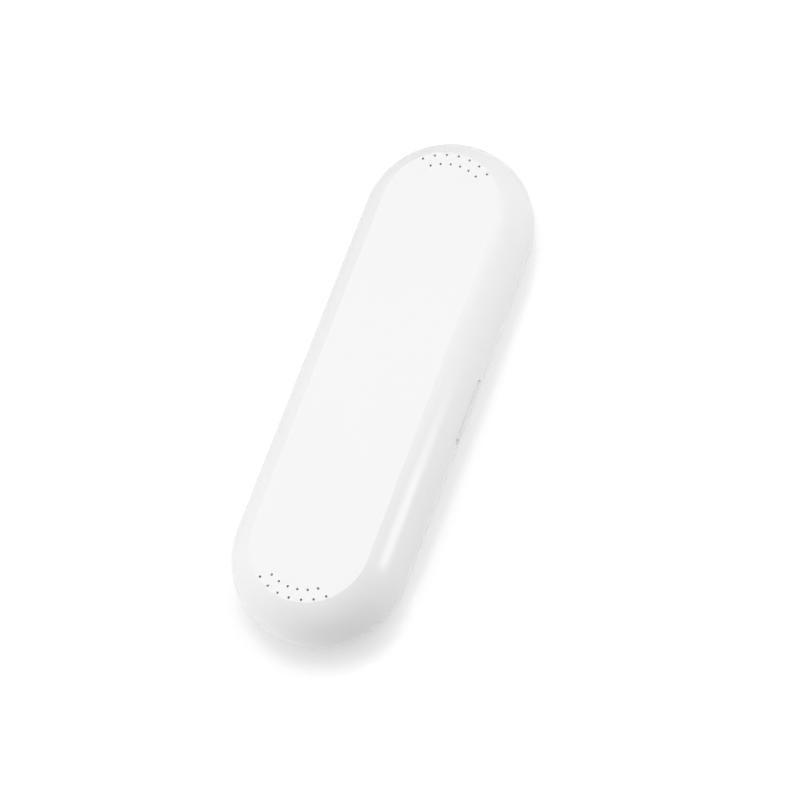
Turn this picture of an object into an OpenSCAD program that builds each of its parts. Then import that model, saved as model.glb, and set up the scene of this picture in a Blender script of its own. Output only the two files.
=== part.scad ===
// Hinged travel case for an electric toothbrush: two rounded shells on rear pins,
// a moulded tray for one handle and two brush heads, soft pads and a magnetic closure.
// Millimetres. +X runs along the case, +Y towards the hinge, +Z up.
// The origin is the middle of the flat underside.

/* [Case] */
// Width of the case at the parting line, before the rear flat
case_width = 69; // [66:0.5:76]
// Height of the closed case
case_height = 39; // [38:0.5:44]
// Distance between the centres of the two round ends
end_spacing = 144; // [132:1:160]
// Radius of the rounded shoulder, seen in cross-section
shoulder_r = 23; // [21:0.5:25]
// Wall thickness of both shells
wall = 2.2; // [1.8:0.1:2.6]
// Gap between the two rims when the case is closed
parting_gap = 0.1; // [0.05:0.05:0.4]
// Chamfer that breaks the outer edge of each rim
rim_chamfer = 0.1; // [0.05:0.05:0.4]

/* [Rim tongue] */
// Thickness of the tongue that stands on the base rim
tongue_t = 0.8; // [0.6:0.1:1]
// Height of the tongue above the parting line
tongue_h = 1.5; // [1:0.1:2]
// Clearance between the tongue and its rebate in the lid
tongue_clear = 0.2; // [0.1:0.05:0.3]

/* [Vents] */
// Diameter of one vent hole
vent_d = 1; // [0.8:0.1:1.6]
// Distance from the crease of the flat top to the outer row of vents
vent_inset = 1.07; // [0.9:0.05:2]
// Distance between the two rows of vents
vent_row_gap = 3.93; // [3:0.1:5]
// Angle between neighbouring vents of one row, in degrees
vent_step = 12.25; // [9:0.25:14]
// Vents in the outer row at each end; the inner row has one fewer
vent_count = 7; // [3:1:9]

/* [Finger recess] */
// Length of the recess in the front wall
recess_l = 28; // [24:1:40]
// Height of the recess, half above and half below the parting line
recess_h = 5; // [4:0.5:7]
// Depth of the recess
recess_depth = 1.1; // [0.8:0.1:1.4]
// Length of the lid's lip that stands in the recess
lip_l = 24.8; // [20:0.2:25]
// Offset of the lip from the middle of the recess
lip_shift = 0.8; // [0:0.1:0.8]
// Thickness of the lip
lip_t = 1.4; // [1:0.1:2]
// How far the lip stands out of the front wall
lip_out = 0.3; // [0:0.1:0.6]
// Depth of the pocket at the open end of the lip
pocket_depth = 2.4; // [1.6:0.1:2.6]

/* [Hinge] */
// Distance from the middle of the case to the middle of each hinge
hinge_x = 45; // [36:1:50]
// Depth of the flat along the rear wall that lets the lid swing back
rear_flat = 0.55; // [0.4:0.05:0.8]
// Outer radius of the hinge knuckles
knuckle_r = 1.65; // [1.5:0.05:2]
// Length of each of the two base knuckles of a hinge
base_knuckle_l = 8; // [6:0.5:9]
// Length of the lid knuckle between them
lid_knuckle_l = 12; // [10:0.5:14]
// Gap between neighbouring knuckles
knuckle_gap = 0.3; // [0.2:0.05:0.5]
// Clearance round a knuckle in the opposite shell
knuckle_relief = 0.3; // [0.25:0.05:0.5]
// Diameter of a hinge pin
pin_d = 1.5; // [1.2:0.1:1.6]
// Radial clearance of the pin in the lid knuckle
pin_clear = 0.05; // [0.02:0.01:0.08]

/* [Contents] */
// Diameter of the toothbrush handle that the case holds
handle_d = 27; // [24:0.5:28]
// Diameter of a capped brush head
head_d = 18; // [16:0.5:19]
// Length of the well for one brush head
head_well_l = 76; // [68:1:80]
// Radius of the finger scoop beside the handle
scoop_r = 9; // [8:0.5:9.5]

/* [Tray] */
// Wall thickness of the tray
tray_t = 1.2; // [1:0.1:1.4]
// Depth of the tray deck below the parting line
deck_drop = 0.7; // [0.5:0.1:1.2]
// Gap between the deck's edge and the base wall
deck_gap = 0.5; // [0.3:0.1:1]
// Gap between the handle trough and the rear wall
trough_gap = 2; // [1.6:0.1:2.6]
// Width of the web between the trough and the head wells
well_web = 3; // [2:0.2:4]
// Least gap between the ends of the trough or wells and the shell
end_gap = 0.4; // [0.3:0.1:1]

/* [Pads and cushions] */
// Thickness of the soft pads in the tray
pad_t = 1; // [0.8:0.1:1.4]
// Width of the handle pads
handle_pad_w = 14; // [8:1:18]
// Width of the head pads
head_pad_w = 8; // [6:1:12]
// Distance from the middle of the case to the pads and the lid ribs
rib_x = 44; // [40:1:50]
// Thickness of the lid ribs
rib_t = 2; // [1.6:0.1:2.4]
// Thickness of the soft cushion between a rib and what it holds
cushion_t = 1.6; // [1.2:0.1:1.8]
// Width of a cushion
cushion_w = 6; // [5:0.5:8]
// Depth of the cushion's flanges beside the rib
cushion_flange = 0.9; // [0.6:0.1:1]

/* [Closure] */
// Diameter of a magnet
magnet_d = 6; // [5:0.5:7]
// Thickness of a magnet
magnet_t = 2.5; // [2:0.1:3]
// Distance from a magnet's axis to the inside of the wall
magnet_edge = 6.1; // [5.6:0.1:7]
// Direction of the magnets from the centre of the round end, in degrees
magnet_angle = 40; // [36:1:44]
// Diameter of a closing buffer
buffer_d = 5.6; // [4.4:0.2:6]
// Depth of the buffer's seat above the magnet
buffer_seat = 0.6; // [0.4:0.1:0.8]

/* [Tray screws] */
// Diameter of a screw's shank
screw_d = 2; // [1.6:0.1:2.4]
// Diameter of a screw's head
screw_head_d = 3.8; // [3.4:0.1:4.4]
// Height of a screw's head
screw_head_h = 1.3; // [1:0.1:1.6]
// Length of a screw under its head
screw_l = 8; // [6:0.5:10]
// Diameter of the bosses that carry the screws
boss_d = 6; // [5:0.2:6.6]
// Distance from an end screw's axis to the inside of the wall
screw_edge = 8.3; // [8:0.1:10]
// Distance from the front screw's axis to the inside of the wall
front_screw_edge = 7.3; // [6.8:0.1:8]

/* [Hidden] */
$fn = 96;

part_r = case_width / 2;
part_z = case_height / 2;
half_l = end_spacing / 2;
bend_r = part_r - shoulder_r;
crease_r = bend_r + sqrt(pow(shoulder_r, 2) - pow(part_z, 2));
inner_r = part_r - wall;
half_gap = parting_gap / 2;
bond = 0.05;
hollow_gap = 0.3;
skin = wall / 2;
over = 1;

// Rear flat, hinge axis and front and rear thickening
flat_y = part_r - rear_flat;
axis_y = flat_y + bond;
pin_r = pin_d / 2;
pin_seat = 0.01;
group_l = lid_knuckle_l + 2 * (knuckle_gap + base_knuckle_l);
pin_l = group_l - 2 * knuckle_gap;
block_l = group_l + 3.4;
block_t = wall + 1.1;
block_h = 7;
block_taper = 2.5;
front_block_l = recess_l + 4;

// Tongue on the base rim
tongue_in = inner_r + 0.1;
rear_gap_run = 8;
tongue_rear_gap = half_l + rear_gap_run;
tongue_front_gap = recess_l / 2 + 1.2;

// Handle trough and brush-head wells
handle_r = handle_d / 2;
hold_gap = 0.1;
trough_r = handle_r + pad_t;
trough_out = trough_r + tray_t;
trough_y = inner_r - trough_gap - trough_out;
trough_z = part_z - 0.2;
head_r = head_d / 2;
well_r = head_r + pad_t;
well_out = well_r + tray_t;
well_z = part_z - 2.5;
well_y = max(trough_y - trough_out - well_web - well_out, -front_reach(well_out, well_z));
deck_top = part_z - deck_drop;
deck_t = 1.4;
deck_r = inner_r - deck_gap;
scoop_y = trough_y - trough_r - 5;
scoop_z = deck_top;

// Lid ribs and their cushions
rib_foot = part_z + tongue_h + 1;
handle_arc = handle_r + cushion_t + 2 * hold_gap;
head_arc = head_r + cushion_t + 2 * hold_gap;

// Magnets, buffers and their seats
magnet_r = magnet_d / 2;
magnet_fit = 0.05;
cup_r = magnet_r + tray_t;
magnet_reach = inner_r - magnet_edge;
magnet_x = half_l + magnet_reach * cos(magnet_angle);
magnet_y = -magnet_reach * sin(magnet_angle);
well_far = magnet_x - cup_r - well_out;
well_near = well_far - head_well_l + 2 * well_r;
cup_floor = deck_top - buffer_seat - magnet_t - 2 * bond;
post_foot = part_z + 0.7;
buffer_top = post_foot - 0.1;

// Tray screws
screw_r = screw_d / 2;
head_sink = screw_head_h + 0.3;
seat_t = 1.2;
seat_z = deck_top - head_sink;
boss_top = seat_z - seat_t;
end_screw_x = half_l + inner_r - screw_edge;
end_screw_y = 2;
front_screw_y = -(inner_r - front_screw_edge);
SCREWS = [[-end_screw_x, end_screw_y], [end_screw_x, end_screw_y], [0, front_screw_y]];
trough_x = min(end_reach(trough_out, trough_y, trough_z), boss_reach());

// Cross-section angles of the pads and cushions, from +Y upwards
handle_pad_arc = 110;
head_pad_arc = 120;
cushion_arc = 90;

// Distance along X at which a ball of radius r at height z still clears the round end
function end_reach(r, y, z) =
    let (room = shoulder_r - wall - end_gap - r)
    let (ring = bend_r + sqrt(pow(room, 2) - pow(part_z - z, 2)))
    half_l + sqrt(max(0, pow(ring, 2) - pow(y, 2)));

// Distance along X at which the trough's end still clears the boss of the end screw
function boss_reach() =
    let (room = trough_out + boss_d / 2 + end_gap)
    end_screw_x - sqrt(max(0, pow(room, 2) - pow(trough_y - end_screw_y, 2)));

// Distance towards the front at which a round of radius r at height z still clears the wall
function front_reach(r, z) =
    bend_r + sqrt(pow(shoulder_r - wall - end_gap - r, 2) - pow(part_z - z, 2));

// Full cross-section of the closed case, moved inwards by inset, between two heights
module section(inset, z_low, z_high) {
    r = shoulder_r - inset;
    intersection() {
        union() {
            for (side = [-1, 1]) translate([side * bend_r, part_z]) circle(r);
            translate([-bend_r, part_z - r]) square([2 * bend_r, 2 * r]);
        }
        translate([-case_width, z_low]) square([2 * case_width, z_high - z_low]);
    }
}

// Carries a cross-section along the straight sides and round both ends
module round_case() {
    rotate([90, 0, 90]) linear_extrude(end_spacing, center = true) children();
    for (turn = [0, 180]) rotate([0, 0, turn]) translate([half_l, 0, 0]) rotate([0, 0, -90])
        rotate_extrude(angle = 180) intersection() {
            children();
            square([case_width, case_height + tongue_h]);
        }
}

// Small triangle that breaks the outer edge of a rim; up is 1 for the lid and -1 for the base
module rim_edge(up) {
    z = part_z + up * half_gap;
    for (side = [-1, 1])
        polygon([
            [side * (part_r - rim_chamfer), z - up * over],
            [side * (part_r - rim_chamfer), z],
            [side * (part_r + over), z + up * (rim_chamfer + over)],
            [side * (part_r + over), z - up * over]
        ]);
}

// Wall of the base: outside, cavity and broken edge
module base_wall() {
    round_case() difference() {
        section(0, 0, part_z - half_gap);
        section(wall, wall, case_height);
        rim_edge(-1);
    }
}

// Wall of the lid, the same form turned over
module lid_wall() {
    round_case() difference() {
        section(0, part_z + half_gap, case_height);
        section(wall, 0, case_height - wall);
        rim_edge(1);
    }
}

// Ring along the rim between two radii and two heights
module rim_ring(r_low, r_high, z_low, z_high) {
    round_case() for (side = [-1, 1])
        translate([side > 0 ? r_low : -r_high, z_low]) square([r_high - r_low, z_high - z_low]);
}

// Stretches of the rim without tongue: the hinge side and the finger recess
module tongue_gaps(shrink) {
    rear = tongue_rear_gap - shrink;
    front = tongue_front_gap - shrink;
    translate([-rear, part_r / 2, 0]) cube([2 * rear, part_r, case_height]);
    translate([-front, -1.5 * part_r, 0]) cube([2 * front, part_r, case_height]);
}

module tongue() {
    difference() {
        rim_ring(tongue_in, tongue_in + tongue_t, part_z - half_gap - skin, part_z + tongue_h);
        tongue_gaps(0);
    }
}

module tongue_rebate() {
    difference() {
        rim_ring(inner_r - over, tongue_in + tongue_t + tongue_clear,
                 part_z - over, part_z + tongue_h + tongue_clear);
        tongue_gaps(tongue_clear);
    }
}

// Everything behind the rear flat is removed, so that the lid can lie back
module rear_cut() {
    translate([-case_width - half_l, flat_y, -over])
        cube([2 * (case_width + half_l), part_r, case_height + 2 * over]);
}

// Inner thickening of a wall; up is 1 in the lid and -1 in the base, side is 1 at the rear
module wall_block(x, length, side, up) {
    low = part_r - block_t;
    rim = part_z + up * half_gap;
    translate([x - length / 2, 0, 0]) rotate([90, 0, 90]) linear_extrude(length)
        polygon([
            [side * low, rim],
            [side * (part_r - skin), rim],
            [side * (part_r - skin), rim + up * (block_h - block_taper)],
            [side * (inner_r - skin), rim + up * block_h],
            [side * low, rim + up * (block_h - block_taper)]
        ]);
}

// Keeps inner features inside the middle of the wall
module inside_case() {
    intersection() {
        union() children();
        round_case() section(skin, skin, case_height - skin);
    }
}

// Keeps what the case holds clear of the floor, the roof and the walls
module inside_hollow() {
    inset = wall + hollow_gap;
    intersection() {
        union() children();
        round_case() section(inset, inset, case_height - inset);
    }
}

// Round bar along X on the hinge axis
module axis_bar(x, length, r) {
    translate([x - length / 2, axis_y, part_z]) rotate([0, 90, 0]) cylinder(length, r, r);
}

// Middles of the base knuckles of one hinge
function base_knuckles(x) = [for (side = [-1, 1])
    x + side * (lid_knuckle_l / 2 + knuckle_gap + base_knuckle_l / 2)];

// Finger recess with round ends, cut to a depth below the front wall
module recess(depth) {
    r = recess_h / 2;
    translate([0, -part_r + depth, part_z]) rotate([90, 0, 0]) linear_extrude(part_r) union() {
        for (side = [-1, 1]) translate([side * (recess_l / 2 - r), 0]) circle(r);
        square([recess_l - recess_h, recess_h], center = true);
    }
}

// Deeper pocket between the recess's end and the lip
module recess_pocket() {
    low = -recess_l / 2 + 0.4;
    high = lip_shift - lip_l / 2;
    r = (high - low) / 2;
    translate([(low + high) / 2, -part_r + pocket_depth, part_z]) rotate([90, 0, 0])
        cylinder(part_r, r, r);
}

// Lip on the lid's front edge, by which the case is opened
module lip() {
    root = -part_r + recess_depth + skin / 2;
    translate([lip_shift - lip_l / 2, -part_r - lip_out, part_z + half_gap - lip_t / 2])
        cube([lip_l, part_r + lip_out + root, lip_t]);
}

// Space for the part of the lip that hangs in front of the base
module lip_room() {
    clear = 0.3;
    translate([lip_shift - lip_l / 2 - clear, -1.5 * part_r, part_z - lip_t])
        cube([lip_l + 2 * clear, part_r / 2 + recess_depth + skin / 2 + clear, lip_t]);
}

module base_shell() {
    color("white") difference() {
        union() {
            difference() {
                union() {
                    base_wall();
                    for (side = [-1, 1]) wall_block(side * hinge_x, block_l, 1, -1);
                    wall_block(0, front_block_l, -1, -1);
                }
                rear_cut();
            }
            tongue();
            inside_case() for (at = SCREWS) translate([at[0], at[1], 0])
                cylinder(boss_top, d = boss_d);
            for (side = [-1, 1], x = base_knuckles(side * hinge_x))
                axis_bar(x, base_knuckle_l, knuckle_r);
        }
        for (side = [-1, 1]) {
            axis_bar(side * hinge_x, lid_knuckle_l + 2 * knuckle_gap, knuckle_r + knuckle_relief);
            axis_bar(side * hinge_x, group_l + over, pin_r + pin_seat);
        }
        for (at = SCREWS) translate([at[0], at[1], seat_z - screw_l - over])
            cylinder(screw_l + over, r = screw_r + pin_seat);
        recess(recess_depth);
        recess_pocket();
        lip_room();
    }
}

// Ends of the lid's moulded posts that hold the magnets
module magnet_posts() {
    for (side = [-1, 1]) translate([side * magnet_x, magnet_y, post_foot])
        cylinder(case_height - post_foot, r = cup_r);
}

// Cross ribs that hold the handle and the heads down
module lid_ribs() {
    for (side = [-1, 1]) translate([side * rib_x - rib_t / 2, 0, 0])
        rotate([90, 0, 90]) linear_extrude(rib_t) difference() {
            section(skin, rib_foot, case_height - skin);
            translate([trough_y, trough_z]) circle(handle_arc);
            translate([well_y, well_z]) circle(head_arc);
        }
}

// Vent holes in two rows along each round end of the flat top
module vents() {
    outer_r = crease_r - vent_inset;
    rows = [[outer_r, vent_count], [outer_r - vent_row_gap, vent_count - 1]];
    for (turn = [0, 180], row = rows, i = [0 : row[1] - 1])
        rotate([0, 0, turn]) translate([half_l, 0, 0])
            rotate([0, 0, (i - (row[1] - 1) / 2) * vent_step])
                translate([row[0], 0, case_height - wall - over]) cylinder(wall + 2 * over, d = vent_d);
}

module lid_shell() {
    color("white") difference() {
        union() {
            difference() {
                union() {
                    lid_wall();
                    for (side = [-1, 1]) wall_block(side * hinge_x, block_l, 1, 1);
                    wall_block(0, front_block_l, -1, 1);
                    inside_case() magnet_posts();
                    lid_ribs();
                }
                rear_cut();
                recess(recess_depth);
                recess_pocket();
                tongue_rebate();
            }
            lip();
            for (side = [-1, 1]) axis_bar(side * hinge_x, lid_knuckle_l, knuckle_r);
        }
        for (side = [-1, 1]) {
            for (x = base_knuckles(side * hinge_x))
                axis_bar(x, base_knuckle_l + 2 * knuckle_gap, knuckle_r + knuckle_relief);
            axis_bar(side * hinge_x, lid_knuckle_l + 2 * over, pin_r + pin_clear);
            translate([side * magnet_x, magnet_y, post_foot - over])
                cylinder(magnet_t + 2 * bond + over, r = magnet_r + magnet_fit);
        }
        vents();
    }
}

// Lying capsule along X between two ball centres, as one turned body
module capsule(x_low, x_high, r) {
    translate([x_low, 0, 0]) rotate([90, 0, 90]) rotate_extrude() intersection() {
        union() {
            circle(r);
            translate([0, x_high - x_low]) circle(r);
            square([r, x_high - x_low]);
        }
        translate([0, -r]) square([r, x_high - x_low + 2 * r]);
    }
}

// Hollows of the tray, grown by a wall: handle trough, two wells and the finger scoop
module tray_hollows(grow) {
    translate([0, trough_y, trough_z]) capsule(-trough_x, trough_x, trough_r + grow);
    for (turn = [0, 1]) mirror([turn, 0, 0]) translate([0, well_y, well_z])
        capsule(well_near, well_far, well_r + grow);
    translate([0, scoop_y, scoop_z]) sphere(scoop_r + grow);
}

module base_tray() {
    color("gainsboro") difference() {
        union() {
            inside_hollow() intersection() {
                tray_hollows(tray_t);
                translate([-half_l - part_r, -part_r, 0])
                    cube([end_spacing + case_width, case_width, deck_top]);
            }
            translate([0, 0, deck_top - deck_t]) linear_extrude(deck_t) {
                square([end_spacing, 2 * deck_r], center = true);
                for (side = [-1, 1]) translate([side * half_l, 0]) circle(deck_r);
            }
            for (side = [-1, 1]) translate([side * magnet_x, magnet_y, cup_floor - tray_t])
                cylinder(deck_top - cup_floor + tray_t, r = cup_r);
            for (at = SCREWS) translate([at[0], at[1], seat_z - seat_t])
                cylinder(deck_top - seat_z + seat_t, d = boss_d);
        }
        tray_hollows(0);
        for (side = [-1, 1]) {
            translate([side * magnet_x, magnet_y, cup_floor])
                cylinder(case_height, r = magnet_r + magnet_fit);
            translate([side * hinge_x - block_l / 2 - deck_gap, part_r - block_t - deck_gap, 0])
                cube([block_l + 2 * deck_gap, part_r, case_height]);
        }
        translate([-front_block_l / 2 - deck_gap, -part_r, 0])
            cube([front_block_l + 2 * deck_gap, block_t + deck_gap, case_height]);
        for (at = SCREWS) translate([at[0], at[1], 0]) {
            cylinder(case_height, r = screw_r + 0.2);
            translate([0, 0, seat_z]) cylinder(case_height, r = screw_head_d / 2 + 0.2);
        }
    }
}

module hinge_pin(side) {
    color("silver") axis_bar(side * hinge_x, pin_l, pin_r);
}

module base_magnet(side) {
    color("silver") translate([side * magnet_x, magnet_y, cup_floor + bond])
        cylinder(magnet_t, r = magnet_r);
}

module lid_magnet(side) {
    color("silver") translate([side * magnet_x, magnet_y, post_foot + bond])
        cylinder(magnet_t, r = magnet_r);
}

// Soft stud on the base magnet, on which the lid's post comes down
module closing_buffer(side) {
    foot = cup_floor + magnet_t + 2 * bond;
    crown = 0.4;
    color("lightgray") translate([side * magnet_x, magnet_y, foot]) rotate_extrude() polygon([
        [0, 0], [buffer_d / 2, 0], [buffer_d / 2, buffer_top - foot - crown],
        [buffer_d / 2 - crown, buffer_top - foot], [0, buffer_top - foot]
    ]);
}

// Arc-shaped strip under an axis along X, with grip ridges on its inner face
module saddle_pad(x, y, z, r_in, r_out, width, arc) {
    ridge_w = 1.2;
    ridge_h = (r_out - r_in) / 2;
    ridges = [-1, 0, 1];
    translate([x, y, z]) rotate([0, 90, 0]) rotate([0, 0, -arc / 2]) rotate_extrude(angle = arc) {
        translate([r_in + ridge_h, -width / 2]) square([r_out - r_in - ridge_h, width]);
        for (i = ridges) translate([r_in, i * (width - ridge_w) / 2 - ridge_w / 2])
            square([r_out - r_in, ridge_w]);
    }
}

module handle_pad(side) {
    color("darkgray") saddle_pad(side * rib_x, trough_y, trough_z,
        handle_r + hold_gap, trough_r - bond, handle_pad_w, handle_pad_arc);
}

module head_pad(side) {
    color("darkgray") saddle_pad(side * rib_x, well_y, well_z,
        head_r + hold_gap, well_r - bond, head_pad_w, head_pad_arc);
}

// Soft channel that clips over the curved edge of a lid rib
module rib_cushion(x, y, z, r_in) {
    r_rib = r_in + cushion_t;
    groove = rib_t / 2 + bond;
    translate([x, y, z]) rotate([0, 90, 0]) rotate([0, 0, 180 - cushion_arc / 2])
        rotate_extrude(angle = cushion_arc) {
            translate([r_in, -cushion_w / 2]) square([cushion_t, cushion_w]);
            for (side = [-1, 1]) translate([r_in, side > 0 ? groove : -cushion_w / 2])
                square([cushion_t + cushion_flange, cushion_w / 2 - groove]);
        }
}

module handle_cushion(side) {
    color("darkgray") inside_hollow() rib_cushion(side * rib_x, trough_y, trough_z, handle_r + hold_gap);
}

module head_cushion(side) {
    color("darkgray") inside_hollow() rib_cushion(side * rib_x, well_y, well_z, head_r + hold_gap);
}

module tray_screw(at) {
    slot_r = 0.9;
    color("silver") translate([at[0], at[1], seat_z]) difference() {
        union() {
            cylinder(screw_head_h, d = screw_head_d);
            translate([0, 0, -screw_l]) cylinder(screw_l, r = screw_r);
        }
        translate([0, 0, screw_head_h / 2]) cylinder(screw_head_h, r = slot_r, $fn = 6);
    }
}

base_shell();
lid_shell();
base_tray();
hinge_pin(-1);  // hinge_pin_left
hinge_pin(1);  // hinge_pin_right
base_magnet(-1);  // base_magnet_left
base_magnet(1);  // base_magnet_right
closing_buffer(-1);  // closing_buffer_left
closing_buffer(1);  // closing_buffer_right
handle_pad(-1);  // handle_pad_left
handle_pad(1);  // handle_pad_right
head_pad(-1);  // head_pad_left
head_pad(1);  // head_pad_right
tray_screw(SCREWS[0]);  // tray_screw_left
tray_screw(SCREWS[1]);  // tray_screw_right
tray_screw(SCREWS[2]);  // tray_screw_front
lid_magnet(-1);  // lid_magnet_left
lid_magnet(1);  // lid_magnet_right
handle_cushion(-1);  // handle_cushion_left
handle_cushion(1);  // handle_cushion_right
head_cushion(-1);  // head_cushion_left
head_cushion(1);  // head_cushion_right
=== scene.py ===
"""Finishes, soft fittings and studio of a hinged travel case for an electric toothbrush.

All lengths are in metres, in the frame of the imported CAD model.
"""

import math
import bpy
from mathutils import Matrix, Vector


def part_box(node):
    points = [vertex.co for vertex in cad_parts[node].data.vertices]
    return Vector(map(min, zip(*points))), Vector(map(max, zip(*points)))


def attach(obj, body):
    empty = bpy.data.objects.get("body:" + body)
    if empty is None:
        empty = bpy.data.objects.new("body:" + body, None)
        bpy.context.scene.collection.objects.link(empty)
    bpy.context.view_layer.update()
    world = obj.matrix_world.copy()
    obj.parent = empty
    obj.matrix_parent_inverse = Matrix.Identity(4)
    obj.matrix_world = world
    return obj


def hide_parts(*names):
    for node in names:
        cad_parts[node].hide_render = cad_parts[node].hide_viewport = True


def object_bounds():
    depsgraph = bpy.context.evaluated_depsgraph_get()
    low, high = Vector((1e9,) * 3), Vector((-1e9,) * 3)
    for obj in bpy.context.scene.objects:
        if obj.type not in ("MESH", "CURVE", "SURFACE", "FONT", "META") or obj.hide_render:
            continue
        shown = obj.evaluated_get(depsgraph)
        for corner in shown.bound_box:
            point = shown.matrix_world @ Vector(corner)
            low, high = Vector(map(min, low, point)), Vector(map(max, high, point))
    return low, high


bl_info = {
    "name": "Toothbrush Travel Case",
    "version": (1, 0, 0),
    "blender": (4, 5, 0),
    "location": "View3D > Sidebar > Travel Case",
    "description": "Builds the soft fittings, the metal parts and the studio of a travel case",
    "category": "Object",
}

import bmesh
import bpy
from bpy.props import FloatProperty, FloatVectorProperty, IntProperty, PointerProperty
from bpy.types import Operator, Panel, PropertyGroup
from mathutils import Vector

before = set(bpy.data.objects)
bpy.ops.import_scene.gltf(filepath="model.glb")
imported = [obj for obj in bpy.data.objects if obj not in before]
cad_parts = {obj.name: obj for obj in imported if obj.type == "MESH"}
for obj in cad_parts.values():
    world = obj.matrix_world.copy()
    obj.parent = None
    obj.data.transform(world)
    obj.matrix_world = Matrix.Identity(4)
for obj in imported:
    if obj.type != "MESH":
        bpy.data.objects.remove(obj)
CAD_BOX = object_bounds()

SIDES = ("left", "right")

# Tolerances: for places in metres, for faces on a pad's curved band in metres, for turns in radians
TINY = 1e-6
ON_BAND = 5e-5
LEVEL_ENOUGH = 1e-3

# Sides of the round pieces
DISC_SIDES = 64
SCREW_SIDES = 48
PIN_SIDES = 40

# Length of a grip nub's cell, and one row of cells in so many that carries nubs
NUB_CELL = 0.0026
NUB_EVERY = 3

# Width of a disc's outer ring, as a share of its radius, and taper of the dimple inside it
DISC_RING = 0.45
DIMPLE_TAPER = 0.8

# Length of a screw's point as a share of the shank's radius, and its taper
POINT_LENGTH = 0.8
POINT_TAPER = 0.35

# Width of the flat ring at a hinge pin's end, as a share of its diameter
PIN_RING = 0.2

FLOOR_SIZE = 8
SHADOW_SAMPLES = 16

# Stretch from the case's left end over which the end's shadow turns into the front's
END_STRETCH = (0.008, 0.038)

# Range of closeness about a shadow's edge over which the shadow sets in
SHADOW_EDGE = (-0.03, 0.05)

# Width of the camera's sensor in millimetres
SENSOR_WIDTH = 36.0


class CaseForm(PropertyGroup):
    """Sizes that the finishes and the fittings share with the CAD model."""

    wall: FloatProperty(
        name="Wall", description="Wall thickness of both shells",
        default=0.0022, unit="LENGTH", precision=4)
    shoulder: FloatProperty(
        name="Shoulder", description="Radius of the rounded shoulder in cross-section",
        default=0.023, unit="LENGTH", precision=4)
    handle_pad_arc: FloatProperty(
        name="Handle pad arc", description="Angle that a handle pad covers",
        default=math.radians(110), subtype="ANGLE")
    head_pad_arc: FloatProperty(
        name="Head pad arc", description="Angle that a head pad covers",
        default=math.radians(120), subtype="ANGLE")
    cushion_arc: FloatProperty(
        name="Cushion arc", description="Angle that a lid cushion covers",
        default=math.radians(90), subtype="ANGLE")
    ridge_width: FloatProperty(
        name="Ridge width", description="Width of one grip ridge of a pad",
        default=0.0012, unit="LENGTH", precision=4)
    cushion_thickness: FloatProperty(
        name="Cushion thickness", description="Soft layer between a rib and what it holds",
        default=0.0016, unit="LENGTH", precision=4)
    rib_thickness: FloatProperty(
        name="Rib thickness", description="Width of the channel that sits on a lid rib",
        default=0.0021, unit="LENGTH", precision=4)
    screw_head: FloatProperty(
        name="Screw head", description="Height of the head of a tray screw",
        default=0.0013, unit="LENGTH", precision=4)
    screw_shank: FloatProperty(
        name="Screw shank", description="Radius of the shank of a tray screw",
        default=0.001, unit="LENGTH", precision=4)


class CaseFittings(PropertyGroup):
    """Details of the soft and metal pieces."""

    soft_edge: FloatProperty(
        name="Soft edge", description="Rounding of the edges of pads and cushions",
        default=0.00016, unit="LENGTH", precision=5)
    nub_margin: FloatProperty(
        name="Nub margin", description="Margin round a grip nub in its cell",
        default=0.00028, unit="LENGTH", precision=5)
    nub_height: FloatProperty(
        name="Nub height", description="Height of the grip nubs between the ridges",
        default=0.00026, unit="LENGTH", precision=5)
    arc_steps: IntProperty(
        name="Arc steps", description="Steps of a pad along its arc", default=33, min=9)
    groove_width: FloatProperty(
        name="Groove width", description="Width of the two grooves in a cushion's face",
        default=0.0007, unit="LENGTH", precision=5)
    groove_depth: FloatProperty(
        name="Groove depth", description="Depth of the two grooves in a cushion's face",
        default=0.0004, unit="LENGTH", precision=5)
    groove_place: FloatProperty(
        name="Groove place", description="Distance of a groove from a cushion's middle",
        default=0.0013, unit="LENGTH", precision=5)
    buffer_crown: FloatProperty(
        name="Buffer crown", description="Rounding of a closing buffer's edges",
        default=0.0004, unit="LENGTH", precision=5)
    buffer_dimple: FloatProperty(
        name="Buffer dimple", description="Depth of the dimples in a closing buffer's faces",
        default=0.0002, unit="LENGTH", precision=5)
    metal_edge: FloatProperty(
        name="Metal edge", description="Rounding of the edges of magnets, pins and screws",
        default=0.0002, unit="LENGTH", precision=5)
    socket_radius: FloatProperty(
        name="Socket radius", description="Corner radius of the hexagon socket of a screw",
        default=0.0009, unit="LENGTH", precision=5)
    socket_depth: FloatProperty(
        name="Socket depth", description="Depth of the hexagon socket of a screw",
        default=0.0008, unit="LENGTH", precision=5)


class CaseFinish(PropertyGroup):
    """Colours and gloss of the case."""

    shell: FloatVectorProperty(
        name="Shell", description="Colour of the glossy shells",
        default=(0.884, 0.88, 0.888), size=3, subtype="COLOR", min=0, max=1)
    shell_gloss: FloatProperty(
        name="Shell gloss", description="Roughness of the outside of the shells",
        default=0.24, min=0, max=1, subtype="FACTOR")
    inner_gloss: FloatProperty(
        name="Inner gloss", description="Roughness of the textured inside of the shells",
        default=0.46, min=0, max=1, subtype="FACTOR")
    tray: FloatVectorProperty(
        name="Tray", description="Colour of the moulded tray",
        default=(0.57, 0.595, 0.62), size=3, subtype="COLOR", min=0, max=1)
    soft: FloatVectorProperty(
        name="Soft parts", description="Colour of pads, cushions and buffers",
        default=(0.19, 0.208, 0.23), size=3, subtype="COLOR", min=0, max=1)
    nickel: FloatVectorProperty(
        name="Nickel", description="Colour of the plated magnets",
        default=(0.66, 0.63, 0.58), size=3, subtype="COLOR", min=0, max=1)
    steel: FloatVectorProperty(
        name="Steel", description="Colour of screws and hinge pins",
        default=(0.52, 0.53, 0.55), size=3, subtype="COLOR", min=0, max=1)


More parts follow.
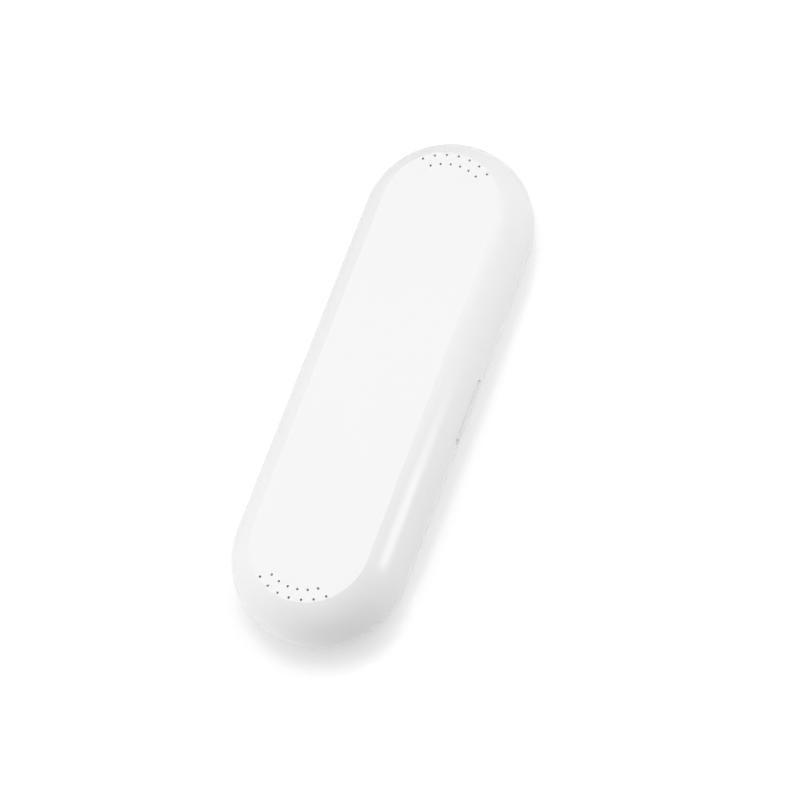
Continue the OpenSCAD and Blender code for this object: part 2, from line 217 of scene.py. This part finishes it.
class CaseStudio(PropertyGroup):
    """Camera, lamps and background."""

    camera_place: FloatVectorProperty(
        name="Camera place", description="Position of the camera",
        default=(-0.31149, -0.31793, 0.97159), size=3, subtype="TRANSLATION")
    camera_turn: FloatVectorProperty(
        name="Camera turn", description="Turn of the camera about X, Y and Z",
        default=(math.radians(22.3054), math.radians(10.9721), math.radians(-69.7064)),
        size=3, subtype="EULER")
    lens: FloatProperty(
        name="Lens", description="Focal length in millimetres", default=121.694, min=1)
    world_level: FloatProperty(
        name="World level", description="Strength of the even light from all round",
        default=0.0, min=0)
    floor_colour: FloatVectorProperty(
        name="Floor", description="Colour of the floor",
        default=(0.88, 0.88, 0.88), size=3, subtype="COLOR", min=0, max=1)
    floor_glow: FloatProperty(
        name="Floor glow", description="Strength of the white that lifts the floor",
        default=1.12, min=0)
    floor_lift: FloatProperty(
        name="Floor lift", description="Share of the white in the floor as it is seen",
        default=0.7, min=0, max=1, subtype="FACTOR")
    shadow_reach: FloatProperty(
        name="Shadow reach", description="Distance over which the case darkens the floor",
        default=0.06, unit="LENGTH", precision=4)
    side_shadow: FloatVectorProperty(
        name="Side shadow", description="Closeness at its edge, and depth, along the front",
        default=(0.46, 0.30), size=2, min=0, max=1)
    end_shadow: FloatVectorProperty(
        name="End shadow", description="Closeness at its edge, and depth, at the left end",
        default=(0.30, 0.49), size=2, min=0, max=1)


# Name, azimuth and elevation in degrees, distance, width and height in metres, power in watts,
# and whether the lamp shows in gloss: low lamps would turn the flat top plain white at a slant
LAMPS = (
    ("high_front_right", 315.0, 50.0, 1.0, 0.9, 0.9, 6.47, True),
    ("low_rear_left", 135.0, 22.0, 1.0, 0.6, 0.6, 3.68, False),
    ("high_rear", 90.0, 60.0, 1.0, 0.9, 0.9, 3.53, True),
    ("low_rear_right", 45.0, 22.0, 1.0, 0.6, 0.6, 1.54, False),
    ("high_left", 180.0, 50.0, 1.0, 0.9, 0.9, 1.38, True),
    ("high_front_left", 225.0, 60.0, 1.0, 0.9, 0.9, 0.79, True),
    ("low_left", 180.0, 22.0, 1.0, 0.6, 0.6, 0.54, False),
    ("streak", 280.2, 12.5, 0.822, 0.11, 0.26, 1.0, True),
)


# The record's material slots, and the material of this script that finishes each
FINISHES = {
    "shell_white": "glossy_shell",
    "tray_grey": "satin_tray",
    "soft_grey": "moulded_rubber",
    "magnet_nickel": "plated_nickel",
    "steel": "turned_steel",
}


class Wire:
    """A shader socket on which plain arithmetic adds Math nodes."""

    def __init__(self, tree, socket):
        self.tree = tree
        self.socket = socket

    def _maths(self, operation, first, second=0.0):
        node = self.tree.nodes.new("ShaderNodeMath")
        node.operation = operation
        for socket, value in zip(node.inputs, (first, second)):
            feed(self.tree, socket, value)
        return Wire(self.tree, node.outputs[0])

    def __add__(self, other):
        return self._maths("ADD", self, other)

    __radd__ = __add__

    def __mul__(self, other):
        return self._maths("MULTIPLY", self, other)

    __rmul__ = __mul__

    def __sub__(self, other):
        return self._maths("SUBTRACT", self, other)

    def __rsub__(self, other):
        return self._maths("SUBTRACT", other, self)

    def __pow__(self, other):
        return self._maths("POWER", self, other)

    def __gt__(self, other):
        return self._maths("GREATER_THAN", self, other)

    def __lt__(self, other):
        return self._maths("LESS_THAN", self, other)

    def __abs__(self):
        return self._maths("ABSOLUTE", self)

    def at_least(self, other):
        return self._maths("MAXIMUM", self, other)


def feed(tree, socket, value):
    """Links a wire to a socket, or writes a plain value into it."""
    if isinstance(value, Wire):
        tree.links.new(value.socket, socket)
    else:
        socket.default_value = value


def find_socket(sockets, name):
    """The enabled socket of that name, because a Mix node has several of each."""
    for socket in sockets:
        if socket.name == name and socket.enabled:
            return socket
    raise KeyError(f"no socket {name}")


class Finish:
    """The node tree of a material or of the world."""

    def __init__(self, owner):
        owner.use_nodes = True
        self.owner = owner
        self.tree = owner.node_tree
        self.tree.nodes.clear()

    def node(self, kind, sockets=None, output=None, **settings):
        """Adds a node: its settings first, then the values or links of its sockets."""
        made = self.tree.nodes.new(kind)
        for key, value in settings.items():
            setattr(made, key, value)
        for key, value in (sockets or {}).items():
            feed(self.tree, find_socket(made.inputs, key), value)
        if isinstance(output, tuple):
            return [Wire(self.tree, find_socket(made.outputs, name)) for name in output]
        if output:
            return Wire(self.tree, find_socket(made.outputs, output))
        return made

    def place(self):
        """Object coordinates, in metres."""
        return self.node("ShaderNodeTexCoord", output="Object")

    def noise(self, place, scale, detail=2.0, roughness=0.5):
        return self.node("ShaderNodeTexNoise", {
            "Vector": place, "Scale": scale, "Detail": detail, "Roughness": roughness,
        }, output="Fac")

    def between(self, value, low, high):
        """0 below low, 1 above high, smooth between them."""
        return self.node("ShaderNodeMapRange", {
            "Value": value, "From Min": low, "From Max": high,
        }, output="Result", interpolation_type="SMOOTHSTEP")

    def blend(self, mask, first, second):
        """Mixes two colours by a mask."""
        return self.node("ShaderNodeMix", {
            "Factor": mask, "A": (*first, 1.0), "B": (*second, 1.0),
        }, output="Result", data_type="RGBA")

    def mix(self, first, second, share):
        """Mixes two shaders, by the share that the second has."""
        made = self.node("ShaderNodeMixShader", {"Fac": share})
        for socket, shader in zip(made.inputs[-2:], (first, second)):
            feed(self.tree, socket, shader)
        return Wire(self.tree, made.outputs[0])

    def relief(self, height, distance):
        return self.node("ShaderNodeBump", {
            "Height": height, "Strength": 1.0, "Distance": distance,
        }, output="Normal")

    def surface(self, **sockets):
        """Ends a material in one Principled shader."""
        named = {key.replace("_", " "): value for key, value in sockets.items()}
        return self.end(self.node("ShaderNodeBsdfPrincipled", named, output="BSDF"))

    def end(self, shader):
        self.node("ShaderNodeOutputMaterial", {"Surface": shader})
        return self.owner


def new_material(slot):
    """An empty material of this script's own name, because the imported model brings plain ones."""
    return bpy.data.materials.new(FINISHES[slot])


def shade(colour, amount):
    """The colour made lighter or darker by a factor."""
    return tuple(min(1.0, part * amount) for part in colour)


def shell_material(form, finish):
    """Glossy moulded plastic outside, spark-textured and duller inside."""
    made = Finish(new_material("shell_white"))
    place = made.place()
    x, y, z = made.node("ShaderNodeSeparateXYZ", {"Vector": place}, output=("X", "Y", "Z"))
    low, high = CAD_BOX
    half_width = -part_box("base_shell")[0].y
    half_straight = high.x - half_width
    middle = (low.z + high.z) / 2
    along = (abs(x) - half_straight).at_least(0.0)
    out = ((along ** 2 + y ** 2) ** 0.5 - (half_width - form.shoulder)).at_least(0.0)
    round_depth = (out ** 2 + (z - middle) ** 2) ** 0.5
    skin = form.wall / 2
    inside = (round_depth < form.shoulder - form.wall + skin / 4) * (z > low.z + skin) \
        * (z < high.z - skin)
    cloudy = made.noise(place, scale=28.0, detail=3.0)
    fine = made.noise(place, scale=420.0, detail=2.0)
    grain = made.noise(place, scale=2600.0, detail=1.0)
    colour = made.blend(cloudy, shade(finish.shell, 0.992), shade(finish.shell, 1.006))
    outside_gloss = finish.shell_gloss + (fine - 0.5) * 0.05 + (cloudy - 0.5) * 0.05
    gloss = outside_gloss + inside * (finish.inner_gloss - finish.shell_gloss)
    height = (1 - inside) * (cloudy * 0.5 + fine * 0.06) + inside * grain * 0.9
    return made.surface(Base_Color=colour, Roughness=gloss, Specular_IOR_Level=0.3,
                        Normal=made.relief(height, distance=0.00002))


def tray_material(finish):
    """Satin moulded plastic with a fine texture and faint flow clouds."""
    made = Finish(new_material("tray_grey"))
    place = made.place()
    clouds = made.noise(place, scale=22.0, detail=4.0, roughness=0.6)
    grain = made.noise(place, scale=3200.0, detail=1.0)
    colour = made.blend(clouds, shade(finish.tray, 0.97), shade(finish.tray, 1.03))
    gloss = 0.40 + (clouds - 0.5) * 0.10 + (grain - 0.5) * 0.08
    return made.surface(Base_Color=colour, Roughness=gloss,
                        Normal=made.relief(grain, distance=0.000012))


def soft_material(finish):
    """Matt moulded rubber with a dusty bloom and a faint pebble."""
    made = Finish(new_material("soft_grey"))
    place = made.place()
    bloom = made.noise(place, scale=240.0, detail=4.0, roughness=0.65)
    pebble = made.noise(place, scale=1900.0, detail=2.0)
    dusty = made.between(bloom, low=0.45, high=0.75)
    colour = made.blend(dusty, finish.soft, shade(finish.soft, 1.22))
    gloss = 0.56 + (bloom - 0.5) * 0.16
    return made.surface(Base_Color=colour, Roughness=gloss, Specular_IOR_Level=0.4,
                        Normal=made.relief(pebble, distance=0.000018))


def metal_material(slot, colour, gloss, streaks):
    """Plated or turned metal with fine scratches and a few duller patches."""
    made = Finish(new_material(slot))
    place = made.place()
    stretched = made.node("ShaderNodeMapping", {"Vector": place, "Scale": streaks},
                          output="Vector")
    lines = made.noise(stretched, scale=1.0, detail=3.0, roughness=0.7)
    patches = made.noise(place, scale=700.0, detail=3.0)
    worn = made.between(patches, low=0.4, high=0.8)
    tint = made.blend(worn, colour, shade(colour, 0.9))
    dull = gloss + (lines - 0.5) * 0.18 + (patches - 0.5) * 0.10
    return made.surface(Base_Color=tint, Roughness=dull, Metallic=1.0,
                        Normal=made.relief(lines, distance=0.000008))


def wear(piece, slot):
    """Gives a piece the material made for that slot by the finishes operator."""
    found = bpy.data.materials.get(FINISHES[slot])
    if found is None:
        raise RuntimeError(f"material {FINISHES[slot]} isn't made yet")
    piece.data.materials.clear()
    piece.data.materials.append(found)


def deselect():
    if bpy.context.mode != "OBJECT":
        bpy.ops.object.mode_set(mode="OBJECT")
    bpy.ops.object.select_all(action="DESELECT")


def started(name):
    """Names the primitive just added."""
    piece = bpy.context.object
    piece.name = name
    piece.data.name = name
    return piece


def settle():
    """Puts the active piece's place, turn and scale into its mesh."""
    bpy.ops.object.transform_apply(location=True, rotation=True, scale=True)


def pick(piece, kind, test):
    """In edit mode, selects only the verts, edges or faces whose middle passes the test."""
    bpy.ops.mesh.select_mode(type={"verts": "VERT", "edges": "EDGE", "faces": "FACE"}[kind])
    bpy.ops.mesh.select_all(action="DESELECT")
    shape = bmesh.from_edit_mesh(piece.data)
    count = 0
    for part in getattr(shape, kind):
        if kind == "verts":
            middle = part.co
        else:
            middle = sum((v.co for v in part.verts), Vector()) / len(part.verts)
        if test(middle, part):
            part.select_set(True)
            count += 1
    shape.select_flush_mode()
    bmesh.update_edit_mesh(piece.data)
    if not count:
        raise RuntimeError(f"{piece.name}: nothing to select")


def tidy_mesh():
    """In edit mode, joins doubles, closes open ends and turns all faces outwards."""
    bpy.ops.mesh.select_all(action="SELECT")
    bpy.ops.mesh.remove_doubles(threshold=TINY)
    bpy.ops.mesh.select_mode(type="EDGE")
    bpy.ops.mesh.select_all(action="DESELECT")
    bpy.ops.mesh.select_non_manifold()
    if bpy.context.object.data.total_edge_sel:
        bpy.ops.mesh.fill_holes(sides=0)
    bpy.ops.mesh.select_all(action="SELECT")
    bpy.ops.mesh.normals_make_consistent(inside=False)
    bpy.ops.object.mode_set(mode="OBJECT")


def soften(piece, width, segments=3, limit=30.0):
    """Rounds the sharp edges of the active piece with an applied Bevel."""
    bevel = piece.modifiers.new("edge", "BEVEL")
    bevel.width = width
    bevel.segments = segments
    bevel.limit_method = "ANGLE"
    bevel.angle_limit = math.radians(limit)
    bevel.use_clamp_overlap = True
    bpy.ops.object.modifier_apply(modifier="edge")
    bpy.ops.object.shade_smooth_by_angle(angle=math.radians(limit))


def hand_over(piece, node, body, slot):
    """The piece takes a CAD node's place on its body."""
    wear(piece, slot)
    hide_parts(node)
    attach(piece, body)


class Arc:
    """Axis and radii of a CAD strip that curves round an axis along X."""

    def __init__(self, node, angle, above):
        low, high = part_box(node)
        self.half = angle / 2
        self.up = 1 if above else -1
        self.outer = (high.y - low.y) / 2 / math.sin(self.half)
        if above:
            self.z = high.z - self.outer
            self.inner = (low.z - self.z) / math.cos(self.half)
        else:
            self.z = low.z + self.outer
            self.inner = (self.z - high.z) / math.cos(self.half)
        self.x = (low.x + high.x) / 2
        self.width = high.x - low.x
        self.y = (low.y + high.y) / 2

    def centre(self):
        return (self.x, self.y, self.z)

    def radius(self, point):
        return math.hypot(point.y - self.y, point.z - self.z)

    def angle(self, point):
        """Angle of a point from the middle of the arc."""
        return math.atan2(point.y - self.y, self.up * (point.z - self.z))


def start_section(name, arc, r_low, r_high):
    """Adds the strip's section as a plane in the middle of its arc, and edits it."""
    deselect()
    bpy.ops.mesh.primitive_plane_add(
        size=1, location=(arc.x, arc.y, arc.z + arc.up * (r_low + r_high) / 2),
        rotation=(math.pi / 2, 0, 0))
    piece = started(name)
    piece.scale = (arc.width, r_high - r_low, 1)
    settle()
    bpy.ops.object.mode_set(mode="EDIT")
    return piece


def cut_across(piece, arc, places):
    """Bisects the section at distances along X from its middle."""
    for place in places:
        bpy.ops.mesh.select_all(action="SELECT")
        bpy.ops.mesh.bisect(plane_co=(arc.x + place, 0, 0), plane_no=(1, 0, 0))


def draw_out(piece, arc, radius, low, high, amount):
    """Extrudes the section's edges at a radius and between two distances along X."""
    def wanted(middle, _):
        return abs(arc.radius(middle) - radius) < TINY and low < middle.x - arc.x < high

    pick(piece, "edges", wanted)
    bpy.ops.mesh.extrude_region_move(
        TRANSFORM_OT_translate={"value": (0, 0, arc.up * amount)})


def points(piece):
    return [vert.co for vert in piece.data.vertices]


def sweep(piece, arc, steps):
    """Spins the section along its arc, and turns the strip back so that it lies evenly."""
    bpy.ops.mesh.select_mode(type="FACE")
    bpy.ops.mesh.select_all(action="SELECT")
    bpy.ops.mesh.remove_doubles(threshold=TINY)
    bpy.ops.mesh.spin(steps=steps, angle=arc.half * 2, center=arc.centre(), axis=(1, 0, 0))
    tidy_mesh()
    bpy.ops.object.mode_set(mode="EDIT")
    bpy.ops.mesh.select_all(action="SELECT")
    bpy.ops.transform.rotate(value=-arc.half, orient_axis="X", center_override=arc.centre())
    bpy.ops.object.mode_set(mode="OBJECT")
    if abs(max(map(arc.angle, points(piece))) - arc.half) > LEVEL_ENOUGH:
        raise RuntimeError(f"{piece.name} doesn't lie evenly about its arc")


def make_saddle_pad(name, arc, form, fittings):
    """Curved grip pad: three rounded ridges and rows of small nubs between them."""
    band = (arc.inner + arc.outer) / 2
    ridge = form.ridge_width
    edge = arc.width / 2
    piece = start_section(name, arc, band, arc.outer)
    inner_edges = (ridge / 2, edge - ridge)
    cut_across(piece, arc, [side * place for side in (-1, 1) for place in inner_edges])
    field = inner_edges[1] - inner_edges[0]
    cells = max(1, round(field / NUB_CELL))
    marks = [inner_edges[0] + field * i / cells for i in range(1, cells)]
    cut_across(piece, arc, [side * mark for side in (-1, 1) for mark in marks])
    for low, high in ((-edge, -edge + ridge), (-ridge / 2, ridge / 2), (edge - ridge, edge)):
        draw_out(piece, arc, band, low, high, arc.inner - band)
    sweep(piece, arc, fittings.arc_steps)
    step = arc.half * 2 / fittings.arc_steps

    def in_cell(middle, _):
        across = abs(middle.x - arc.x)
        on_band = abs(arc.radius(middle) - band) < ON_BAND
        row = math.floor((arc.angle(middle) + arc.half) / step)
        in_field = inner_edges[0] < across < inner_edges[1]
        return on_band and in_field and row % NUB_EVERY == 1

    bpy.ops.object.mode_set(mode="EDIT")
    pick(piece, "faces", in_cell)
    bpy.ops.mesh.inset(thickness=fittings.nub_margin, use_individual=True)
    bpy.ops.mesh.extrude_faces_move(
        TRANSFORM_OT_shrink_fatten={"value": fittings.nub_height})
    bpy.ops.object.mode_set(mode="OBJECT")
    soften(piece, fittings.soft_edge)
    return piece


def make_cushion(name, arc, form, fittings):
    """Soft channel on a lid rib, with two grooves in the face that touches."""
    seat = arc.inner + form.cushion_thickness
    channel = form.rib_thickness / 2
    near = fittings.groove_place - fittings.groove_width / 2
    far = fittings.groove_place + fittings.groove_width / 2
    piece = start_section(name, arc, arc.inner + fittings.groove_depth, seat)
    cut_across(piece, arc, [side * mark for side in (-1, 1) for mark in (channel, near, far)])
    edge = arc.width / 2
    for low, high in ((-edge, -channel), (channel, edge)):
        draw_out(piece, arc, seat, low, high, arc.outer - seat)
    face = arc.inner + fittings.groove_depth
    for low, high in ((-edge, -far), (-near, near), (far, edge)):
        draw_out(piece, arc, face, low, high, -fittings.groove_depth)
    sweep(piece, arc, fittings.arc_steps)
    soften(piece, fittings.soft_edge)
    return piece


def make_disc(name, node, edge, dimple=0.0):
    """Round piece along Z in a node's box, with a rounded rim and, if asked, dimpled faces."""
    low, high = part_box(node)
    radius = (high.x - low.x) / 2
    deselect()
    bpy.ops.mesh.primitive_cylinder_add(
        vertices=DISC_SIDES, radius=radius, depth=high.z - low.z,
        location=(low + high) / 2)
    piece = started(name)
    settle()
    bpy.ops.object.mode_set(mode="EDIT")
    for z in (low.z, high.z):
        pick(piece, "faces", lambda middle, _, z=z: abs(middle.z - z) < TINY)
        bpy.ops.mesh.inset(thickness=radius * DISC_RING)
        if dimple:
            inwards = dimple if z == low.z else -dimple
            bpy.ops.mesh.extrude_region_move(
                TRANSFORM_OT_translate={"value": (0, 0, inwards)})
            bpy.ops.transform.resize(value=(DIMPLE_TAPER, DIMPLE_TAPER, 1))
    bpy.ops.object.mode_set(mode="OBJECT")
    soften(piece, edge, 4)
    return piece


def make_screw(name, node, form, fittings):
    """Cheese-head screw with a hexagon socket and a pointed shank."""
    low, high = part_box(node)
    x, y = (low.x + high.x) / 2, (low.y + high.y) / 2
    radius = (high.x - low.x) / 2
    under = high.z - form.screw_head
    deselect()
    bpy.ops.mesh.primitive_cylinder_add(
        vertices=6, radius=fittings.socket_radius, depth=fittings.socket_depth * 2,
        location=(x, y, high.z))
    socket = started(name + "_socket")
    deselect()
    bpy.ops.mesh.primitive_cylinder_add(
        vertices=SCREW_SIDES, radius=radius, depth=form.screw_head,
        location=(x, y, high.z - form.screw_head / 2))
    piece = started(name)
    settle()
    bpy.ops.object.mode_set(mode="EDIT")
    pick(piece, "faces", lambda middle, _: abs(middle.z - under) < TINY)
    bpy.ops.mesh.inset(thickness=radius - form.screw_shank)
    point = form.screw_shank * POINT_LENGTH
    for length, taper in ((under - low.z - point, 1), (point, POINT_TAPER)):
        bpy.ops.mesh.extrude_region_move(TRANSFORM_OT_translate={"value": (0, 0, -length)})
        bpy.ops.transform.resize(value=(taper, taper, 1))
    bpy.ops.object.mode_set(mode="OBJECT")
    cut = piece.modifiers.new("socket", "BOOLEAN")
    cut.object = socket
    cut.operation = "DIFFERENCE"
    bpy.ops.object.modifier_apply(modifier="socket")
    bpy.data.objects.remove(socket)
    soften(piece, fittings.metal_edge / 2, 2)
    return piece


def make_pin(name, node, fittings):
    """Hinge pin along X with rounded ends."""
    low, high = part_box(node)
    deselect()
    bpy.ops.mesh.primitive_cylinder_add(
        vertices=PIN_SIDES, radius=(high.z - low.z) / 2, depth=high.x - low.x,
        location=(low + high) / 2, rotation=(0, math.pi / 2, 0))
    piece = started(name)
    settle()
    bpy.ops.object.mode_set(mode="EDIT")
    for end in (low.x, high.x):
        pick(piece, "faces", lambda middle, _, end=end: abs(middle.x - end) < TINY)
        bpy.ops.mesh.inset(thickness=(high.z - low.z) * PIN_RING)
    bpy.ops.object.mode_set(mode="OBJECT")
    soften(piece, fittings.metal_edge, 4)
    return piece


class TRAVELCASE_OT_stage(Operator):
    """Sets up the floor, the background, the lamps and the camera"""

    bl_idname = "travel_case.stage"
    bl_label = "Build the studio"

    def execute(self, context):
        scene = context.scene
        studio = scene.case_studio
        scene.view_settings.view_transform = "Standard"
        self.build_floor(studio)
        self.build_world(scene, studio)
        for lamp in LAMPS:
            self.hang_lamp(*lamp)
        self.place_camera(scene, studio)
        return {"FINISHED"}

    def seen_directly(self, made):
        """1 for rays from the camera, from gloss and through glass."""
        camera, glossy, through = made.node(
            "ShaderNodeLightPath",
            output=("Is Camera Ray", "Is Glossy Ray", "Is Transmission Ray"))
        return camera.at_least(glossy).at_least(through)

    def build_floor(self, studio):
        deselect()
        bpy.ops.mesh.primitive_plane_add(size=FLOOR_SIZE, location=(0, 0, 0))
        floor = started("floor")
        made = Finish(bpy.data.materials.new("floor_white"))
        plain = made.node("ShaderNodeBsdfDiffuse", {"Color": (*studio.floor_colour, 1.0)},
                          output="BSDF")
        glow = made.node("ShaderNodeEmission", {"Strength": studio.floor_glow},
                         output="Emission")
        camera = made.node("ShaderNodeLightPath", output="Is Camera Ray")
        lifted = made.mix(plain, glow, (camera + 1.0) * (studio.floor_lift / 2))
        # Painted shadow: for the camera, the floor is darkened toward black by how closed in each
        # point is, deeper and wider at the left end than along the front
        openness = made.node("ShaderNodeAmbientOcclusion", {"Distance": studio.shadow_reach},
                             output="AO", samples=SHADOW_SAMPLES)
        closed = 1.0 - openness
        along = made.node("ShaderNodeSeparateXYZ", {"Vector": made.place()}, output="X")
        side = made.between(along, *(CAD_BOX[0].x + place for place in END_STRETCH))
        edge, depth = (end + side * (front - end) for end, front
                       in zip(studio.end_shadow, studio.side_shadow))
        painted_contact_shadow = made.between(closed - edge, *SHADOW_EDGE) * closed * depth
        unlit = made.node("ShaderNodeBsdfDiffuse", {"Color": (0.0, 0.0, 0.0, 1.0)},
                          output="BSDF")
        seen = made.mix(lifted, unlit, camera * painted_contact_shadow)
        mixed = made.mix(plain, seen, self.seen_directly(made))
        floor.data.materials.append(made.end(mixed))

    def build_world(self, scene, studio):
        world = bpy.data.worlds.new("studio")
        scene.world = world
        made = Finish(world)
        seen = self.seen_directly(made)
        strength = studio.world_level + seen * (1.0 - studio.world_level)
        light = made.node("ShaderNodeBackground", {
            "Color": (1.0, 1.0, 1.0, 1.0), "Strength": strength,
        }, output="Background")
        made.node("ShaderNodeOutputWorld", {"Surface": light})

    def hang_lamp(self, name, azimuth, elevation, distance, width, height, watts, in_gloss):
        deselect()
        turn, rise = math.radians(azimuth), math.radians(elevation)
        way = Vector((math.cos(turn) * math.cos(rise), math.sin(turn) * math.cos(rise),
                      math.sin(rise)))
        bpy.ops.object.light_add(type="AREA", location=way * distance)
        lamp = bpy.context.object
        lamp.name = name
        lamp.data.name = name
        lamp.rotation_euler = way.to_track_quat("Z", "Y").to_euler()
        lamp.data.shape = "RECTANGLE"
        lamp.data.size = width
        lamp.data.size_y = height
        lamp.data.energy = watts
        lamp.visible_glossy = in_gloss

    def place_camera(self, scene, studio):
        deselect()
        bpy.ops.object.camera_add(location=studio.camera_place, rotation=studio.camera_turn)
        camera = bpy.context.object
        camera.name = "photo_camera"
        camera.data.sensor_width = SENSOR_WIDTH
        camera.data.lens = studio.lens
        scene.camera = camera


class TRAVELCASE_OT_finishes(Operator):
    """Makes the materials and puts them on the moulded shells and the tray"""

    bl_idname = "travel_case.finishes"
    bl_label = "Finish the mouldings"

    def execute(self, context):
        form, finish = context.scene.case_form, context.scene.case_finish
        shell_material(form, finish)
        tray_material(finish)
        soft_material(finish)
        metal_material("magnet_nickel", finish.nickel, gloss=0.22,
                       streaks=(900.0, 900.0, 900.0))
        metal_material("steel", finish.steel, gloss=0.30, streaks=(300.0, 2400.0, 2400.0))
        for node in ("lid_shell", "base_shell"):
            wear(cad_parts[node], "shell_white")
        wear(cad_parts["base_tray"], "tray_grey")
        return {"FINISHED"}


class TRAVELCASE_OT_pads(Operator):
    """Models the four grip pads in the tray"""

    bl_idname = "travel_case.pads"
    bl_label = "Model the pads"

    def execute(self, context):
        form, fittings = context.scene.case_form, context.scene.case_fittings
        for held, angle in (("handle", form.handle_pad_arc), ("head", form.head_pad_arc)):
            for side in SIDES:
                node = f"{held}_pad_{side}"
                piece = make_saddle_pad(f"{held}_saddle_{side}", Arc(node, angle, False),
                                        form, fittings)
                hand_over(piece, node, "base", "soft_grey")
        return {"FINISHED"}


class TRAVELCASE_OT_cushions(Operator):
    """Models the four cushions on the lid's ribs"""

    bl_idname = "travel_case.cushions"
    bl_label = "Model the cushions"

    def execute(self, context):
        form, fittings = context.scene.case_form, context.scene.case_fittings
        for held in ("handle", "head"):
            for side in SIDES:
                node = f"{held}_cushion_{side}"
                piece = make_cushion(f"{held}_channel_{side}",
                                     Arc(node, form.cushion_arc, True), form, fittings)
                hand_over(piece, node, "lid", "soft_grey")
        return {"FINISHED"}


class TRAVELCASE_OT_closure(Operator):
    """Models the magnets and the closing buffers"""

    bl_idname = "travel_case.closure"
    bl_label = "Model the closure"

    def execute(self, context):
        fittings = context.scene.case_fittings
        for side in SIDES:
            for body in ("base", "lid"):
                node = f"{body}_magnet_{side}"
                piece = make_disc(f"{body}_disc_{side}", node, fittings.metal_edge)
                hand_over(piece, node, body, "magnet_nickel")
            node = f"closing_buffer_{side}"
            piece = make_disc(f"closing_stud_{side}", node, fittings.buffer_crown,
                              fittings.buffer_dimple)
            hand_over(piece, node, "base", "soft_grey")
        return {"FINISHED"}


class TRAVELCASE_OT_fasteners(Operator):
    """Models the tray screws and the hinge pins"""

    bl_idname = "travel_case.fasteners"
    bl_label = "Model the fasteners"

    def execute(self, context):
        form, fittings = context.scene.case_form, context.scene.case_fittings
        for place in (*SIDES, "front"):
            node = f"tray_screw_{place}"
            piece = make_screw(f"socket_screw_{place}", node, form, fittings)
            hand_over(piece, node, "base", "steel")
        for side in SIDES:
            node = f"hinge_pin_{side}"
            piece = make_pin(f"round_pin_{side}", node, fittings)
            hand_over(piece, node, "base", "steel")
        return {"FINISHED"}


class TRAVELCASE_PT_sidebar(Panel):
    """Buttons in the order in which the case is built"""

    bl_label = "Travel Case"
    bl_idname = "TRAVELCASE_PT_sidebar"
    bl_space_type = "VIEW_3D"
    bl_region_type = "UI"
    bl_category = "Travel Case"

    def draw(self, context):
        for operator in OPERATORS:
            self.layout.operator(operator.bl_idname)
        for group in SETTINGS:
            box = self.layout.box()
            settings = getattr(context.scene, group)
            for name in settings.bl_rna.properties.keys():
                if name not in ("rna_type", "name"):
                    box.prop(settings, name)


OPERATORS = (
    TRAVELCASE_OT_stage,
    TRAVELCASE_OT_finishes,
    TRAVELCASE_OT_pads,
    TRAVELCASE_OT_cushions,
    TRAVELCASE_OT_closure,
    TRAVELCASE_OT_fasteners,
)
SETTINGS = {
    "case_form": CaseForm,
    "case_fittings": CaseFittings,
    "case_finish": CaseFinish,
    "case_studio": CaseStudio,
}


def register():
    for group in SETTINGS.values():
        bpy.utils.register_class(group)
    for name, group in SETTINGS.items():
        setattr(bpy.types.Scene, name, PointerProperty(type=group))
    for operator in OPERATORS:
        bpy.utils.register_class(operator)
    bpy.utils.register_class(TRAVELCASE_PT_sidebar)


def unregister():
    bpy.utils.unregister_class(TRAVELCASE_PT_sidebar)
    for operator in reversed(OPERATORS):
        bpy.utils.unregister_class(operator)
    for name, group in SETTINGS.items():
        delattr(bpy.types.Scene, name)
        bpy.utils.unregister_class(group)


def main():
    register()
    for operator in OPERATORS:
        category, name = operator.bl_idname.split(".")
        getattr(getattr(bpy.ops, category), name)()


if __name__ == "__main__":
    main()
